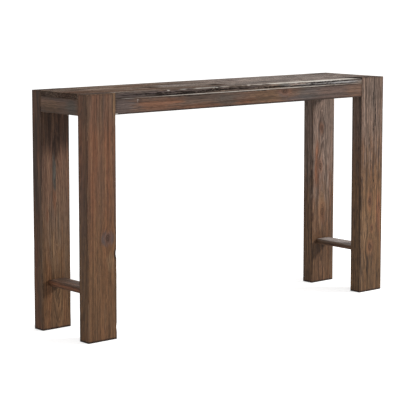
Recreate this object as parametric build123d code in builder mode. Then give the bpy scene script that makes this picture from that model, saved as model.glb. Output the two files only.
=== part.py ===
from build123d import *
import os

os.makedirs("parts", exist_ok=True)

# A tall, narrow console table in solid wood, in millimetres. +X runs along the table,
# the front faces -Y, +Z is up, and the origin is on the floor under the middle of the top.

# Overall size
table_length = 1565.0
table_depth = 342.0
table_height = 914.0

# Legs: flat posts that run through the corners of the top
leg_width = 131.0
leg_thickness = 55.0
glide_stand = 1.0  # the floor glides hold the wood this far off the floor

# Top: full-length centre boards, with an edge board between the legs on each long side
board_thickness = 21.0
centre_board_count = 2

# Aprons and end rails under the top
rail_thickness = 28.0
rail_drop = 80.0  # from the top's surface down to the underside of the rails
rail_recess = 0.8  # the rails sit this far behind the faces of the legs

# Low stretchers, one between the two legs of each end
stretcher_width = 75.0
stretcher_thickness = 22.0
stretcher_bottom = 172.0

# Joints in the wood
arris = 1.0  # eased edge of a board
leg_arris = 1.5
end_ease = 0.8  # eased rim of a bolt, a dowel or a glide
fit_gap = 0.1  # glue gap around a tenon or a dowel
mortise_slack = 1.0  # a mortise or a dowel hole is this much deeper than what it holds
rail_tenon = (12.0, 38.0, 34.0)  # thickness, height, length
end_tenon = (12.0, 38.0, 24.0)
stretcher_tenon = (50.0, 10.0, 24.0)  # width, thickness, length

# Corner blocks, each held to its leg by a hanger bolt and to its apron by two screws
block_size = (40.0, 30.0, 48.0)
bolt_radius = 3.0
bolt_bite = 40.0  # length of the bolt inside the leg
bolt_end = 12.0  # length of the bolt past the block
bolt_hole_radius = 3.3
washer_radius = 9.0
washer_thickness = 1.6
nut_across_flats = 10.0
nut_thickness = 5.0
block_screw_spread = 30.0
block_drop = 2.0  # the blocks stand this far above the underside of the aprons

# Cross battens and end cleats, which hold the top boards from below
batten_width = 60.0
batten_thickness = 22.0
batten_pitch = 400.0
cleat_side = 26.0
cleat_rail_pitch = 58.0  # between the screws from a cleat into its rail

# Wood screws
screw_radius = 2.0
screw_head_radius = 4.0
screw_head_height = 2.6
screw_clearance = 0.15
screw_edge = 0.6  # straight edge of the head
slot_size = (3.6, 1.0, 1.4)  # length between the ends, width and depth of each slot of the cross
head_pocket_radius = 4.4
short_screw = 28.0  # up into the top boards
long_screw = 40.0  # through a cleat or a block into a rail
batten_pocket = 9.0  # how deep a screw's head is sunk into each piece
cleat_pocket = 13.0
cleat_rail_pocket = 8.0
block_pocket = 9.0

# Dowels between the top boards
dowel_radius = 4.0
dowel_length = 40.0
dowel_count = 6
dowel_pitch = 230.0

# Floor glides
glide_radius = 12.0
glide_thickness = 3.0
glide_pitch = 70.0

# Places that follow from the sizes
inner_x = table_length / 2 - leg_width  # inner side face of a leg
inner_y = table_depth / 2 - leg_thickness  # face of a leg that looks at the other leg
leg_x = table_length / 2 - leg_width / 2
leg_y = table_depth / 2 - leg_thickness / 2
board_bottom = table_height - board_thickness
rail_bottom = table_height - rail_drop
rail_height = board_bottom - rail_bottom
rail_middle = rail_bottom + rail_height / 2
apron_y = table_depth / 2 - rail_recess - rail_thickness / 2
apron_back = table_depth / 2 - rail_recess - rail_thickness
end_rail_x = table_length / 2 - rail_recess - rail_thickness / 2
end_rail_back = table_length / 2 - rail_recess - rail_thickness
stretcher_middle = stretcher_bottom + stretcher_thickness / 2
centre_board_width = 2 * inner_y / centre_board_count

sides = {"left": -1, "right": 1}
faces = {"front": -1, "back": 1}


def write(piece, name):
    piece.label = name
    export_step(piece, f"parts/{name}.step")


def facing(point, outward, across=None):
    """A plane at the point whose normal is outward, so that a hole goes in against it."""
    return Plane(origin=point, x_dir=across, z_dir=outward)


def make_board(centre, size, ease=arris):
    """A rectangular board with eased edges, its centre and its size given in X, Y and Z."""
    with BuildPart() as board:
        with BuildSketch(Plane(origin=(centre[0], centre[1], centre[2] - size[2] / 2))):
            Rectangle(size[0], size[1])
        extrude(amount=size[2])
        chamfer(board.edges(), ease)
    return board.part


# Where the dowels stand in the joints between the top boards
joint_lines = [-inner_y + centre_board_width * i for i in range(centre_board_count + 1)]
dowel_z = board_bottom + board_thickness / 2
dowel_xs = [dowel_pitch * (i - (dowel_count - 1) / 2) for i in range(dowel_count)]

# Where the screws go up into the top boards: through the battens and through the end cleats
batten_xs = [-batten_pitch, 0.0, batten_pitch]
centre_screw_ys = [
    line + centre_board_width * share for line in joint_lines[:-1] for share in (0.25, 0.75)
]
edge_screw_y = (inner_y + apron_back) / 2
batten_screw_ys = [-edge_screw_y, *centre_screw_ys, edge_screw_y]
batten_bottom = board_bottom - batten_thickness
cleat_bottom = board_bottom - cleat_side
cleat_x = end_rail_back - cleat_side / 2
batten_seats = [(x, y, batten_bottom + batten_pocket) for x in batten_xs for y in batten_screw_ys]
cleat_seats = [
    (side * cleat_x, y, cleat_bottom + cleat_pocket)
    for side in sides.values()
    for y in centre_screw_ys
]


def pilot_depth(screw, wood):
    """How deep a screw's hole goes into the piece past the wood between it and the pocket."""
    return screw - screw_head_height - wood + mortise_slack


def make_top_board(x_size, y_low, y_high, dowel_faces):
    """One board of the top, drilled from below for its screws and edgewise for its dowels."""
    centre = (0, (y_low + y_high) / 2, dowel_z)
    pilots = [
        (facing((x, y, board_bottom), (0, 0, -1)), pilot_depth(short_screw, board_bottom - z))
        for x, y, z in batten_seats + cleat_seats
        if y_low < y < y_high and abs(x) < x_size / 2
    ]
    with BuildPart() as board:
        add(make_board(centre, (x_size, y_high - y_low, board_thickness)))
        for plane, reach in pilots:
            with Locations(plane):
                Hole(screw_radius + screw_clearance, depth=reach)
        for y, outward in dowel_faces:
            with Locations(*[facing((x, y, dowel_z), (0, outward, 0)) for x in dowel_xs]):
                Hole(dowel_radius + fit_gap, depth=dowel_length / 2 + mortise_slack)
    return board.part


# Legs, with mortises for an apron, an end rail and a stretcher, a bolt hole, and glide recesses
def make_leg(side, face):
    centre = (side * leg_x, face * leg_y, (table_height + glide_stand) / 2)
    apron_mortise = facing((side * inner_x, face * apron_y, rail_middle), (side, 0, 0), (0, 1, 0))
    rail_mortise = facing((side * end_rail_x, face * inner_y, rail_middle), (0, face, 0), (1, 0, 0))
    stretcher_mortise = facing((side * leg_x, face * inner_y, stretcher_middle), (0, face, 0), (1, 0, 0))
    with BuildPart() as leg:
        add(make_board(centre, (leg_width, leg_thickness, table_height - glide_stand), leg_arris))
        for plane, across, up, deep in (
            (apron_mortise, *rail_tenon),
            (rail_mortise, *end_tenon),
            (stretcher_mortise, *stretcher_tenon),
        ):
            with BuildSketch(plane):
                Rectangle(across + 2 * fit_gap, up + 2 * fit_gap)
            extrude(amount=deep + mortise_slack, mode=Mode.SUBTRACT)
        with Locations(facing((side * inner_x, face * bolt_y, bolt_z), (-side, 0, 0))):
            Hole(bolt_radius + fit_gap, depth=bolt_bite + mortise_slack)
        with Locations(facing((side * leg_x, face * leg_y, glide_stand), (0, 0, -1))):
            with GridLocations(glide_pitch, 1, 2, 1):
                Hole(glide_radius + fit_gap, depth=glide_thickness - glide_stand)
    return leg.part


bolt_y = apron_back - block_size[1] / 2
bolt_z = rail_bottom + block_drop + block_size[2] / 2
for side_name, side in sides.items():
    for face_name, face in faces.items():
        write(make_leg(side, face), f"leg_{face_name}_{side_name}")


# Aprons along the front and the back, tenoned into the legs, with pilot holes for the blocks
block_x = inner_x - block_size[0] / 2
block_seats = [
    (side * block_x, face * (apron_back - block_size[1] + block_pocket), bolt_z + up)
    for side in sides.values()
    for face in faces.values()
    for up in (-block_screw_spread / 2, block_screw_spread / 2)
]
for face_name, face in faces.items():
    pilot_planes = [
        facing((x, face * apron_back, z), (0, -face, 0))
        for x, y, z in block_seats
        if y * face > 0
    ]
    depth = pilot_depth(long_screw, block_size[1] - block_pocket)
    with BuildPart() as apron:
        add(make_board((0, face * apron_y, rail_middle), (2 * inner_x, rail_thickness, rail_height)))
        for side in sides.values():
            end_face = facing((side * inner_x, face * apron_y, rail_middle), (side, 0, 0), (0, 1, 0))
            with BuildSketch(end_face):
                Rectangle(rail_tenon[0], rail_tenon[1])
            extrude(amount=rail_tenon[2])
        with Locations(*pilot_planes):
            Hole(screw_radius + screw_clearance, depth=depth)
    write(apron.part, f"apron_{face_name}")


# End rails between the legs of each end, with pilot holes for the cleats
cleat_rail_ys = [-cleat_rail_pitch, 0.0, cleat_rail_pitch]
cleat_rail_z = cleat_bottom + cleat_side / 2
for side_name, side in sides.items():
    depth = pilot_depth(long_screw, cleat_side - cleat_rail_pocket)
    pilot_planes = [facing((side * end_rail_back, y, cleat_rail_z), (-side, 0, 0)) for y in cleat_rail_ys]
    with BuildPart() as end_rail:
        add(make_board((side * end_rail_x, 0, rail_middle), (rail_thickness, 2 * inner_y, rail_height)))
        for face in faces.values():
            end_face = facing((side * end_rail_x, face * inner_y, rail_middle), (0, face, 0), (1, 0, 0))
            with BuildSketch(end_face):
                Rectangle(end_tenon[0], end_tenon[1])
            extrude(amount=end_tenon[2])
        with Locations(*pilot_planes):
            Hole(screw_radius + screw_clearance, depth=depth)
    write(end_rail.part, f"end_rail_{side_name}")


# Stretchers, flat boards with a tenon at each end
for side_name, side in sides.items():
    with BuildPart() as stretcher:
        add(
            make_board(
                (side * leg_x, 0, stretcher_middle),
                (stretcher_width, 2 * inner_y, stretcher_thickness),
            )
        )
        for face in faces.values():
            end_face = facing((side * leg_x, face * inner_y, stretcher_middle), (0, face, 0), (1, 0, 0))
            with BuildSketch(end_face):
                Rectangle(stretcher_tenon[0], stretcher_tenon[1])
            extrude(amount=stretcher_tenon[2])
    write(stretcher.part, f"stretcher_{side_name}")


# Top boards
for face_name, face in faces.items():
    low, high = sorted((face * inner_y, face * table_depth / 2))
    edge_board = make_top_board(2 * inner_x, low, high, [(face * inner_y, -face)])
    write(edge_board, f"top_board_{face_name}")
for i in range(centre_board_count):
    low, high = joint_lines[i], joint_lines[i + 1]
    centre_board = make_top_board(table_length, low, high, [(low, -1), (high, 1)])
    write(centre_board, f"top_board_centre_{i + 1}")


# Cross battens between the aprons, each with a pocketed screw into every top board
for name, x in zip(("left", "middle", "right"), batten_xs):
    with BuildPart() as batten:
        add(
            make_board(
                (x, 0, batten_bottom + batten_thickness / 2),
                (batten_width, 2 * apron_back, batten_thickness),
            )
        )
        with Locations(*[facing((x, y, batten_bottom), (0, 0, -1)) for y in batten_screw_ys]):
            CounterBoreHole(screw_radius + screw_clearance, head_pocket_radius, batten_pocket)
    write(batten.part, f"cross_batten_{name}")


# End cleats, screwed outwards to the end rails and upwards to the centre boards
for side_name, side in sides.items():
    cleat_face = side * (end_rail_back - cleat_side)
    rail_spots = [facing((cleat_face, y, cleat_rail_z), (-side, 0, 0)) for y in cleat_rail_ys]
    board_spots = [facing((side * cleat_x, y, cleat_bottom), (0, 0, -1)) for y in centre_screw_ys]
    with BuildPart() as cleat:
        add(
            make_board(
                (side * cleat_x, 0, cleat_bottom + cleat_side / 2),
                (cleat_side, 2 * inner_y, cleat_side),
            )
        )
        with Locations(*rail_spots):
            CounterBoreHole(screw_radius + screw_clearance, head_pocket_radius, cleat_rail_pocket)
        with Locations(*board_spots):
            CounterBoreHole(screw_radius + screw_clearance, head_pocket_radius, cleat_pocket)
    write(cleat.part, f"end_cleat_{side_name}")


# Corner blocks behind the aprons, bored along X for the bolt and along Y for the screws
for side_name, side in sides.items():
    for face_name, face in faces.items():
        block_end = side * (inner_x - block_size[0])
        block_face = face * (apron_back - block_size[1])
        screw_planes = [
            facing((side * block_x, block_face, bolt_z + up), (0, -face, 0))
            for up in (-block_screw_spread / 2, block_screw_spread / 2)
        ]
        with BuildPart() as block:
            add(make_board((side * block_x, face * bolt_y, bolt_z), block_size))
            with Locations(facing((block_end, face * bolt_y, bolt_z), (-side, 0, 0))):
                Hole(bolt_hole_radius)
            with Locations(*screw_planes):
                CounterBoreHole(screw_radius + screw_clearance, head_pocket_radius, block_pocket)
        write(block.part, f"corner_block_{face_name}_{side_name}")


# Hanger bolts, washers and nuts at the corner blocks
bolt_starts = [
    facing((side * (inner_x + bolt_bite), face * bolt_y, bolt_z), (-side, 0, 0))
    for side in sides.values()
    for face in faces.values()
]
bolt_length = bolt_bite + block_size[0] + bolt_end
upward = (Align.CENTER, Align.CENTER, Align.MIN)
with BuildPart() as hanger_bolts:
    with Locations(*bolt_starts):
        Cylinder(bolt_radius, bolt_length, align=upward)
    chamfer(hanger_bolts.edges().filter_by(GeomType.CIRCLE), end_ease)
write(hanger_bolts.part, "hanger_bolts")

washer_planes = [plane.offset(bolt_bite + block_size[0]) for plane in bolt_starts]
with BuildPart() as bolt_washers:
    for plane in washer_planes:
        with BuildSketch(plane):
            Circle(washer_radius)
            Circle(bolt_hole_radius, mode=Mode.SUBTRACT)
        extrude(amount=washer_thickness)
write(bolt_washers.part, "bolt_washers")

with BuildPart() as bolt_nuts:
    for plane in washer_planes:
        with BuildSketch(plane.offset(washer_thickness)):
            RegularPolygon(nut_across_flats / 2, 6, major_radius=False)
            Circle(bolt_radius + fit_gap, mode=Mode.SUBTRACT)
        extrude(amount=nut_thickness)
write(bolt_nuts.part, "bolt_nuts")


# Wood screws: a flat head with a cross slot, a plain shank and a point, along +Z from the head
def make_screw(size):
    with BuildPart() as screw:
        with BuildSketch(Plane.XZ):
            with BuildLine():
                Polyline(
                    (0, 0),
                    (screw_head_radius, 0),
                    (screw_head_radius, screw_edge),
                    (screw_radius, screw_head_height),
                    (screw_radius, size - 2 * screw_radius),
                    (0, size),
                    (0, 0),
                )
            make_face()
        revolve(axis=Axis.Z)
        with BuildSketch(Plane.XY):
            for turn in (0, 90):
                SlotCenterToCenter(slot_size[0], slot_size[1], rotation=turn)
        extrude(amount=slot_size[2], mode=Mode.SUBTRACT)
    return screw.part


def head_plane(seat, direction):
    """Where a screw starts when the back of its head rests on the seat."""
    return facing(seat, direction).offset(-screw_head_height)


cleat_rail_seats = [
    (side * (end_rail_back - cleat_side + cleat_rail_pocket), y, cleat_rail_z)
    for side in sides.values()
    for y in cleat_rail_ys
]
screw_groups = {
    "batten_screws": (short_screw, [head_plane(seat, (0, 0, 1)) for seat in batten_seats]),
    "cleat_top_screws": (short_screw, [head_plane(seat, (0, 0, 1)) for seat in cleat_seats]),
    "cleat_rail_screws": (long_screw, [head_plane(seat, (seat[0], 0, 0)) for seat in cleat_rail_seats]),
    "block_screws": (long_screw, [head_plane(seat, (0, seat[1], 0)) for seat in block_seats]),
}
for name, (size, planes) in screw_groups.items():
    screw = make_screw(size)
    with BuildPart() as screws:
        with Locations(*planes):
            add(screw)
    write(screws.part, name)


# Dowels between the top boards
dowel_starts = [(x, y - dowel_length / 2, dowel_z) for x in dowel_xs for y in joint_lines]
with BuildPart() as edge_dowels:
    with Locations(*[facing(start, (0, 1, 0)) for start in dowel_starts]):
        Cylinder(dowel_radius, dowel_length, align=upward)
    chamfer(edge_dowels.edges().filter_by(GeomType.CIRCLE), end_ease)
write(edge_dowels.part, "edge_dowels")


# Floor glides, two under each leg
leg_centres = [(side * leg_x, face * leg_y, 0) for side in sides.values() for face in faces.values()]
with BuildPart() as floor_glides:
    with Locations(*leg_centres):
        with GridLocations(glide_pitch, 1, 2, 1):
            Cylinder(glide_radius, glide_thickness, align=upward)
    chamfer(floor_glides.edges().filter_by(GeomType.CIRCLE).group_by(Axis.Z)[0], end_ease)
write(floor_glides.part, "floor_glides")
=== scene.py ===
import math
import bmesh
import bpy
from mathutils import Matrix, Vector, noise


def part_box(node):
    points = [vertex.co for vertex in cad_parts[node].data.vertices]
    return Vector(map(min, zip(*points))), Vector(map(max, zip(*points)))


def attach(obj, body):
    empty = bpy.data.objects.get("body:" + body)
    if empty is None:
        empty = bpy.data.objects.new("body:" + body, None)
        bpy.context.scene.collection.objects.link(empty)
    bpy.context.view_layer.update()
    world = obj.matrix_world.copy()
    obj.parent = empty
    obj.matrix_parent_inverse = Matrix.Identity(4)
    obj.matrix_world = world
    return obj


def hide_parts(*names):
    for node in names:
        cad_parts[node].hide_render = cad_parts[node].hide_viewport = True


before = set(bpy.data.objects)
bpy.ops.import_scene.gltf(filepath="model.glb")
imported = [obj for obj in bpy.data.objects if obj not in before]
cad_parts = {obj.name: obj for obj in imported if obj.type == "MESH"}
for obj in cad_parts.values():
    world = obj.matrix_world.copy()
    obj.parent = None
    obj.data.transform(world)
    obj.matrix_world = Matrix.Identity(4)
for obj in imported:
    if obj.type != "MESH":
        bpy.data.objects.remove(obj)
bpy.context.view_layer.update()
print("frame loaded,", len(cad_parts), "nodes")

mm = 0.001
touching = 1e-6  # points nearer than this lie on the same face


# small helpers for shader trees
def addNode(tree, kind, values=None, **settings):
    node = tree.nodes.new(kind)
    for key, value in settings.items():
        setattr(node, key, value)
    for key, value in (values or {}).items():
        if isinstance(value, bpy.types.NodeSocket):
            tree.links.new(value, node.inputs[key])
        else:
            node.inputs[key].default_value = value
    return node


def calc(tree, operation, *values, clamp=False):
    numbered = dict(enumerate(values))
    return addNode(tree, "ShaderNodeMath", numbered, operation=operation, use_clamp=clamp).outputs[0]


def plus(tree, first, second):
    return calc(tree, "ADD", first, second)


def minus(tree, first, second):
    return calc(tree, "SUBTRACT", first, second)


def times(tree, first, second):
    return calc(tree, "MULTIPLY", first, second)


def vectorCalc(tree, operation, *values):
    node = addNode(tree, "ShaderNodeVectorMath", dict(enumerate(values)), operation=operation)
    return node.outputs["Value" if operation in ("LENGTH", "DOT_PRODUCT") else "Vector"]


def partsOf(tree, vector):
    return addNode(tree, "ShaderNodeSeparateXYZ", {0: vector}).outputs


def ease(tree, value, low, high, atLow=0.0, atHigh=1.0):
    limits = {"Value": value, "From Min": low, "From Max": high, "To Min": atLow, "To Max": atHigh}
    return addNode(tree, "ShaderNodeMapRange", limits, interpolation_type="SMOOTHSTEP").outputs["Result"]


def fade(tree, value, low, high):
    return ease(tree, value, low, high, 1.0, 0.0)


def noiseAt(tree, vector, detail, roughness=0.55):
    values = {"Vector": vector, "Scale": 1.0, "Detail": detail, "Roughness": roughness}
    return addNode(tree, "ShaderNodeTexNoise", values).outputs["Fac"]


def mixColour(tree, factor, first, second, blend="MIX"):
    values = {0: factor, 6: first, 7: second}
    return addNode(tree, "ShaderNodeMix", values, data_type="RGBA", blend_type=blend).outputs[2]


def shadeColour(tree, colour, shade):
    grey = addNode(tree, "ShaderNodeCombineColor", {0: shade, 1: shade, 2: shade}).outputs[0]
    return mixColour(tree, 1.0, colour, grey, "MULTIPLY")


def blankMaterial(name):
    material = bpy.data.materials.new(name)
    material.use_nodes = True
    material.node_tree.nodes.clear()
    return material, material.node_tree


def addSurface(tree, values):
    shader = addNode(tree, "ShaderNodeBsdfPrincipled", values)
    addNode(tree, "ShaderNodeOutputMaterial", {"Surface": shader.outputs["BSDF"]})


# a group is also given the place on the board and the board's seed
def newGroup(name, inputs):
    tree = bpy.data.node_groups.new(name, "ShaderNodeTree")
    for label, value in {"Vector": (0, 0, 0), **inputs, "Seed": 0.0}.items():
        kind = "NodeSocketVector" if isinstance(value, tuple) else "NodeSocketFloat"
        socket = tree.interface.new_socket(name=label, in_out="INPUT", socket_type=kind)
        socket.default_value = value
    return tree, tree.nodes.new("NodeGroupInput").outputs


def finishGroup(tree, results):
    for label in results:
        tree.interface.new_socket(name=label, in_out="OUTPUT", socket_type="NodeSocketFloat")
    out = tree.nodes.new("NodeGroupOutput")
    for label, result in results.items():
        tree.links.new(result, out.inputs[label])
    return tree


def useGroup(tree, group, values):
    return addNode(tree, "ShaderNodeGroup", values, node_tree=group).outputs


def cloudAt(tree, given, stretch, detail, roughness=0.55):
    # each seed takes its own part of the noise
    moved = vectorCalc(tree, "MULTIPLY_ADD", (7.31, 3.17, 5.73), given["Seed"], given["Vector"])
    return noiseAt(tree, vectorCalc(tree, "MULTIPLY", moved, stretch), detail, roughness)


# how often a metre each pattern changes: along the grain, across it and through the board
pace = {
    "slowWander": (2.4, 5, 5), "quickWander": (14, 30, 30),
    "ringDrift": (1.3, 6, 6), "ringRipple": (7, 60, 60),
    "lines": (1.8, 150, 150), "fibre": (11, 520, 520), "pores": (34, 850, 850), "strokes": (17, 170, 170),
    "knot": (38, 60, 20), "patch": (16, 150, 90), "rub": (16, 45, 45),
    "split": (22, 0, 0), "splitEdge": (70, 160, 160),
}


# every group works in a board's own frame: x along the grain, y and z across, in metres
def makeWander():
    tree, given = newGroup("wander", {"Reach": 0.01})
    slow = cloudAt(tree, given, pace["slowWander"], 2.0)
    quick = cloudAt(tree, given, pace["quickWander"], 2.0)
    both = calc(tree, "MULTIPLY_ADD", quick, 0.16, slow)
    offset = times(tree, minus(tree, both, 0.58), times(tree, given["Reach"], 4.0))
    return finishGroup(tree, {"Offset": offset})


def makeGrowthRings():
    tree, given = newGroup(
        "growthRings", {"Pith": (0, 0, 0), "Lean": (0, 0, 0), "Ring Width": 0.003, "Waviness": 0.02})
    along = partsOf(tree, given["Vector"])["X"]
    centre = vectorCalc(tree, "MULTIPLY_ADD", given["Lean"], along, given["Pith"])
    across = vectorCalc(tree, "MULTIPLY", vectorCalc(tree, "SUBTRACT", given["Vector"], centre), (0, 1, 1))
    slow = cloudAt(tree, given, pace["ringDrift"], 2.0)
    fine = cloudAt(tree, given, pace["ringRipple"], 3.0)
    drift = times(tree, minus(tree, slow, 0.5), given["Waviness"])
    ripple = times(tree, minus(tree, fine, 0.5), given["Ring Width"])
    radius = plus(tree, plus(tree, vectorCalc(tree, "LENGTH", across), drift), ripple)
    turns = calc(tree, "DIVIDE", radius, given["Ring Width"])
    phase = calc(tree, "FRACT", turns)
    late = times(tree, ease(tree, phase, 0.3, 0.88), fade(tree, phase, 0.92, 1.0))
    early = times(tree, ease(tree, phase, 0.0, 0.08), fade(tree, phase, 0.2, 0.45))
    tone = addNode(tree, "ShaderNodeTexWhiteNoise", {"W": calc(tree, "FLOOR", turns)}, noise_dimensions="1D")
    return finishGroup(tree, {"Early": early, "Late": late, "Ring Tone": tone.outputs["Value"]})


def makeGrain():
    tree, given = newGroup("grain", {"Early": 0.0, "Contrast": 1.0})
    lines = cloudAt(tree, given, pace["lines"], 4.0, 0.62)
    fibre = cloudAt(tree, given, pace["fibre"], 3.0, 0.6)
    both = plus(tree, times(tree, lines, 0.68), times(tree, fibre, 0.32))
    spread = times(tree, minus(tree, both, 0.5), times(tree, given["Contrast"], 4.6))
    shade = calc(tree, "MAXIMUM", plus(tree, spread, 1.0), 0.25)
    pore = cloudAt(tree, given, pace["pores"], 1.0)
    pores = ease(tree, calc(tree, "MULTIPLY_ADD", given["Early"], 0.16, pore), 0.58, 0.7)
    stroke = cloudAt(tree, given, pace["strokes"], 2.0)
    strokes = ease(tree, calc(tree, "MULTIPLY_ADD", given["Early"], 0.06, stroke), 0.57, 0.68)
    height = minus(tree, both, times(tree, calc(tree, "MAXIMUM", pores, strokes), 0.4))
    return finishGroup(tree, {"Shade": shade, "Pores": pores, "Strokes": strokes, "Height": height})


def makeKnot():
    # Bend is how far the grain beside the knot is pushed across the board
    tree, given = newGroup("knot", {"Centre": (0, 0, 0), "Size": (0.02, 0.01, 0.1)})
    wobble = cloudAt(tree, given, pace["knot"], 3.0)
    fromCentre = vectorCalc(tree, "SUBTRACT", given["Vector"], given["Centre"])
    away = vectorCalc(tree, "LENGTH", vectorCalc(tree, "DIVIDE", fromCentre, given["Size"]))
    reach = plus(tree, away, calc(tree, "MULTIPLY_ADD", wobble, 1.7, -0.85))
    rings = calc(tree, "MULTIPLY_ADD", calc(tree, "SINE", times(tree, reach, 15.0)), 0.3, 0.7)
    core = times(tree, fade(tree, reach, 0.7, 1.15), rings)
    side = partsOf(tree, fromCentre)["Y"]
    bend = times(tree, side, ease(tree, away, 0.3, 4.0, -0.8, 0.0))
    return finishGroup(tree, {"Core": core, "Halo": fade(tree, reach, 0.5, 2.4), "Bend": bend})


def makeStreaks():
    tree, given = newGroup("stainStreaks", {"Stretch": (2.2, 40, 40), "Cover": 0.5, "Softness": 0.12})
    cloud = cloudAt(tree, given, given["Stretch"], 4.0, 0.6)
    middle = minus(tree, 0.72, times(tree, given["Cover"], 0.44))
    low = minus(tree, middle, given["Softness"])
    high = plus(tree, middle, given["Softness"])
    return finishGroup(tree, {"Mask": ease(tree, cloud, low, high)})


def makePatch():
    tree, given = newGroup("stainPatch", {"Centre": (0, 0, 0), "Size": (0.1, 0.02, 0.1), "Ragged": 0.5})
    fromCentre = vectorCalc(tree, "SUBTRACT", given["Vector"], given["Centre"])
    away = vectorCalc(tree, "LENGTH", vectorCalc(tree, "DIVIDE", fromCentre, given["Size"]))
    cloud = cloudAt(tree, given, pace["patch"], 4.0, 0.6)
    shift = times(tree, minus(tree, cloud, 0.5), times(tree, given["Ragged"], 4.0))
    return finishGroup(tree, {"Mask": fade(tree, plus(tree, away, shift), 0.45, 1.35)})


def makeSplit():
    tree, given = newGroup("split", {"Centre": (0, 0, 0), "Length": 0.1, "Width": 0.0015, "Wander": 0.006})
    away = vectorCalc(tree, "SUBTRACT", given["Vector"], given["Centre"])
    parts = partsOf(tree, away)
    curve = cloudAt(tree, given, pace["split"], 3.0)
    drift = times(tree, minus(tree, curve, 0.5), times(tree, given["Wander"], 4.0))
    side = calc(tree, "ABSOLUTE", plus(tree, parts["Y"], drift))
    along = calc(tree, "DIVIDE", calc(tree, "ABSOLUTE", parts["X"]), times(tree, given["Length"], 0.5))
    rough = cloudAt(tree, given, pace["splitEdge"], 2.0)
    opening = times(tree, fade(tree, along, 0.1, 1.0), given["Width"])
    opening = times(tree, opening, ease(tree, rough, 0.35, 0.65, 0.1, 1.6))
    near = fade(tree, minus(tree, side, opening), 0.0, 0.8 * mm)
    deep = fade(tree, calc(tree, "ABSOLUTE", parts["Z"]), 20 * mm, 26 * mm)
    return finishGroup(tree, {"Mask": times(tree, times(tree, near, deep), fade(tree, along, 0.9, 1.0))})


def makeArrisWear():
    tree, given = newGroup("arrisWear", {"Half Size": (1, 1, 1), "Width": 0.004})
    fromMiddle = vectorCalc(tree, "SUBTRACT", given["Vector"], given["Half Size"])
    inside = vectorCalc(tree, "SUBTRACT", given["Half Size"], vectorCalc(tree, "ABSOLUTE", fromMiddle))
    x, y, z = partsOf(tree, inside)
    # on the surface the least of the three is nothing, so the middle one is the way to the arris
    low = calc(tree, "MINIMUM", calc(tree, "MINIMUM", x, y), z)
    high = calc(tree, "MAXIMUM", calc(tree, "MAXIMUM", x, y), z)
    middle = minus(tree, plus(tree, plus(tree, x, y), z), plus(tree, low, high))
    rub = cloudAt(tree, given, pace["rub"], 4.0, 0.65)
    width = times(tree, given["Width"], ease(tree, rub, 0.38, 0.68, 0.05, 1.6))
    worn = fade(tree, calc(tree, "DIVIDE", middle, width), 0.35, 1.0)
    # Grime darkens the wood within a centimetre of every arris: dirt, and painted shade along joints and
    # lower edges
    return finishGroup(tree, {"Worn": worn, "Grime And Shade": fade(tree, middle, 0.0, 10 * mm)})


wander = makeWander()
growthRings = makeGrowthRings()
grain = makeGrain()
knot = makeKnot()
stainStreaks = makeStreaks()
stainPatch = makePatch()
split = makeSplit()
arrisWear = makeArrisWear()
print("finish groups ready")

# stain colours, linear; some of them also paint shade, highlights, sheen and a reflection
stain = {
    "deep": (0.018, 0.011, 0.008, 1),
    "crack": (0.006, 0.004, 0.003, 1),
    "brown": (0.136, 0.071, 0.043, 1),
    "ochre": (0.160, 0.087, 0.038, 1),
    # dust, also used as painted sheen on the top boards and on a stretcher's top
    "dustAndSheen": (0.430, 0.380, 0.355, 1),
    "ash": (0.205, 0.150, 0.122, 1),
    "reflectionGrey": (0.270, 0.262, 0.260, 1),
    "tan": (0.240, 0.140, 0.075, 1),
    "red": (0.190, 0.078, 0.040, 1),
    "slate": (0.082, 0.063, 0.052, 1),
    "teal": (0.075, 0.085, 0.078, 1),
    "bare": (0.300, 0.185, 0.110, 1),
    "pale": (0.560, 0.520, 0.470, 1),
    "planed": (0.210, 0.125, 0.075, 1),
    "beech": (0.480, 0.320, 0.180, 1),
    "purple": (0.088, 0.069, 0.066, 1),
    "endGrain": (0.070, 0.048, 0.037, 1),
    "weatheredAndSheen": (0.370, 0.282, 0.226, 1),
}

# what every board has unless its own list says otherwise
plainBoard = {
    "slot": "frame_wood", "ground": "brown", "tone": 1.0, "contrast": 1.0,
    "gloss": 0.16, "rough": 0.5, "bump": 0.5,
    # how strong and how broad the streaks are; each board says how much of it is red, slate, dark and light
    "vivid": 0.7, "lighten": 0.4, "darken": 0.4, "breadth": 1.0,
    # the way of the grain
    "lean": (0, 0, 0), "ringWidth": 3.6 * mm, "waviness": 0.02, "wander": 3 * mm,
    "rings": 0.2, "strokes": 0.5,
    # knots have a middle and a size; patches and rubbed places also a stain and its strength, and some of
    # these are painted highlights and painted shade
    "knots": [], "patches": [], "rubbedAndPaintedLight": [], "ragged": 0.45,
    # splits have a middle, a length and a width
    "splits": [], "splitWander": 3 * mm,
    # arrises: rounding, chips and their rarity, and the paler wood along them and the dirt and painted shade
    # near them
    "arris": 1.2 * mm, "chip": 2.5 * mm, "chipLevel": 0.45, "wearWidth": 3 * mm, "wear": 0.25, "grimeAndShade": 0.3,
    # bites have a middle, a reach and a depth; scrape is how hollow the faces are
    "bites": [], "scrape": 0.35 * mm, "hew": None, "spacing": (5 * mm, 4 * mm, 4 * mm),
}

# how strongly each mark shows on any wood
woodMarks = {
    "endGrain": 0.7, "pores": 0.6, "knotHalo": 0.4, "knotCore": 0.85, "hewnSlate": 0.6, "hewnDeep": 0.35,
    "splitDark": 0.9, "splitDepth": 2.5, "lateHeight": 0.35, "grainDepth": 0.6 * mm,
    "grainRough": 0.3, "endRough": 0.3, "wornPolish": 0.06, "rubbedAndPaintedLightRagged": 0.3,
}

# each kind of streak: pace along and across the grain, softness, seed step, stain and what sets its strength
streakKinds = {
    "red": (1.7, 22, 0.15, 11, "red", "vivid"),
    "slate": (2.4, 30, 0.12, 23, "slate", "vivid"),
    "light": (4.0, 95, 0.12, 53, "tan", "lighten"),
    "dark": (3.0, 60, 0.14, 37, "deep", "darken"),
}

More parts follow.
